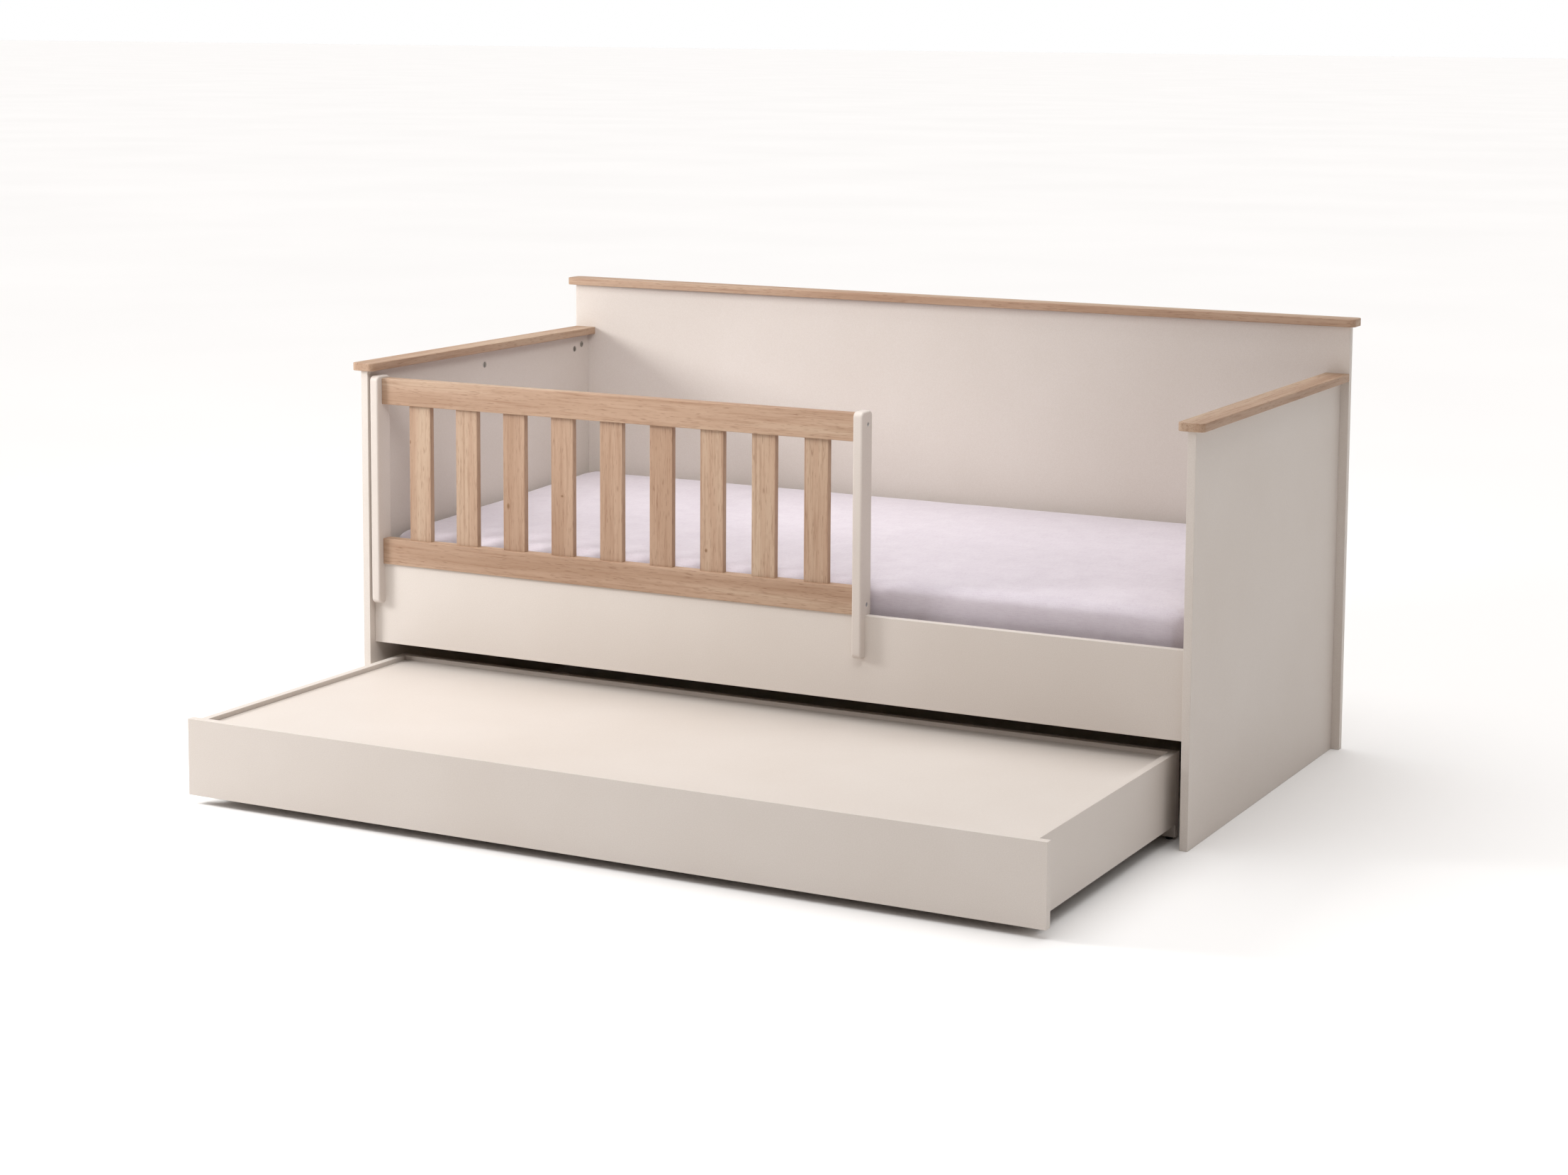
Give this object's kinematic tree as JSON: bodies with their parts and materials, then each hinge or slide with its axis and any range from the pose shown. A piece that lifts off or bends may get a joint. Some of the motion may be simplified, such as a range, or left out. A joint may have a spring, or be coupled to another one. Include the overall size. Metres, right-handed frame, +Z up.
{
  "type": "toddler bed",
  "caption": "Children's day bed in pale laminated board with oak-decor caps, a slatted oak-decor guard on the front, a sheeted mattress and a low pull-out trundle",
  "frame": {"origin": "on the floor, under the middle of the overall box as the bed rests with its trundle pulled out", "axes": "+X runs along the bed to the right as seen from the front, -Y points to the front where the trundle comes out, +Z is up"},
  "size_m": [2.11, 1.663, 1.006],
  "materials": {
    "cashmere_laminate": "pale cashmere melamine facing on chipboard, satin, matching banded edges",
    "oak_decor": "printed light oak decor with darker streaks and small knots, matt, lightly textured",
    "painted_post": "cashmere wrapped board with rounded edges, satin",
    "spruce": "planed spruce, bare",
    "cotton_sheet": "fitted cotton sheet, fine plain weave, cool white",
    "zinc_cam": "die-cast zinc, dull",
    "zinc_steel": "bright zinc-plated steel",
    "black_glide": "black moulded polyethylene"
  },
  "bodies": {
    "frame": {"back_panel": "cashmere_laminate", "back_cap": "oak_decor", "left_side_panel": "cashmere_laminate", "right_side_panel": "cashmere_laminate", "left_cap": "oak_decor", "right_cap": "oak_decor", "front_rail": "cashmere_laminate", "front_ledger": "spruce", "rear_ledger": "spruce", "guard_left_post": "painted_post", "guard_right_post": "painted_post", "guard_bottom_rail": "oak_decor", "guard_top_rail": "oak_decor", "guard_slat_1": "oak_decor", "guard_slat_2": "oak_decor", "guard_slat_3": "oak_decor", "guard_slat_4": "oak_decor", "guard_slat_5": "oak_decor", "guard_slat_6": "oak_decor", "guard_slat_7": "oak_decor", "guard_slat_8": "oak_decor", "guard_slat_9": "oak_decor", "mattress": "cotton_sheet", "bed_slat_1": "spruce", "bed_slat_2": "spruce", "bed_slat_3": "spruce", "bed_slat_4": "spruce", "bed_slat_5": "spruce", "bed_slat_6": "spruce", "bed_slat_7": "spruce", "bed_slat_8": "spruce", "bed_slat_9": "spruce", "bed_slat_10": "spruce", "bed_slat_11": "spruce", "bed_slat_12": "spruce", "frame_cam_locks": "zinc_cam", "frame_cam_bolts": "zinc_steel", "guard_end_bolts": "zinc_steel", "guard_post_screws": "zinc_steel", "ledger_screws": "zinc_steel", "bed_slat_screws": "zinc_steel"},
    "trundle": {"trundle_front_panel": "cashmere_laminate", "trundle_inner_front": "cashmere_laminate", "trundle_front_runner": "cashmere_laminate", "trundle_left_side": "cashmere_laminate", "trundle_right_side": "cashmere_laminate", "trundle_rear_board": "cashmere_laminate", "trundle_base_board": "cashmere_laminate", "trundle_left_batten": "spruce", "trundle_right_batten": "spruce", "trundle_stretcher_1": "cashmere_laminate", "trundle_stretcher_2": "cashmere_laminate", "trundle_glides": "black_glide", "trundle_cam_locks": "zinc_cam", "trundle_cam_bolts": "zinc_steel", "trundle_face_screws": "zinc_steel", "trundle_box_screws": "zinc_steel", "trundle_batten_screws": "zinc_steel"}
  },
  "joints": [
    {"name": "trundle_slide", "type": "slide", "parent": "frame", "child": "trundle", "axis": [0, -1, 0], "range_m": [-0.684, 0.085]}
  ]
}
